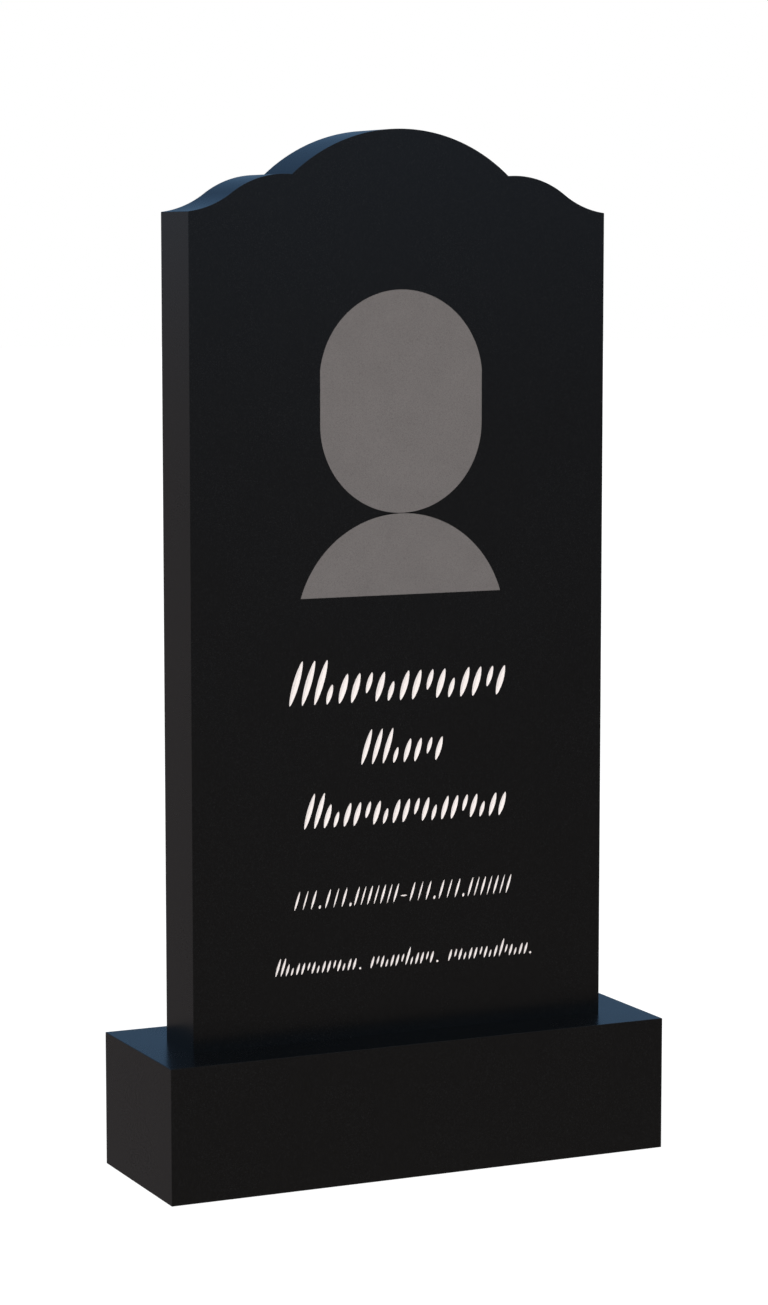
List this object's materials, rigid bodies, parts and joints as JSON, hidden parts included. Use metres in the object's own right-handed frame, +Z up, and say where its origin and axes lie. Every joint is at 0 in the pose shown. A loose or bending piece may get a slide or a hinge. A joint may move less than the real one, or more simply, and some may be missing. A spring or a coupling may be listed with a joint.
{
  "type": "headstone",
  "caption": "Polished black granite headstone: an upright slab with an ogee crown, a blank portrait place and rows of chisel strokes, standing on a plain block.",
  "frame": {"origin": "on the ground plane, under the middle of the plinth", "axes": "+Z up, -Y out of the carved front face, +X to the right of someone who faces the carved front"},
  "size_m": [0.6, 0.2, 1.15],
  "materials": {
    "plinth_granite": "polished",
    "stele_granite": "polished"
  },
  "bodies": {
    "root": {"plinth": "plinth_granite", "stele": "stele_granite"}
  },
  "joints": []
}
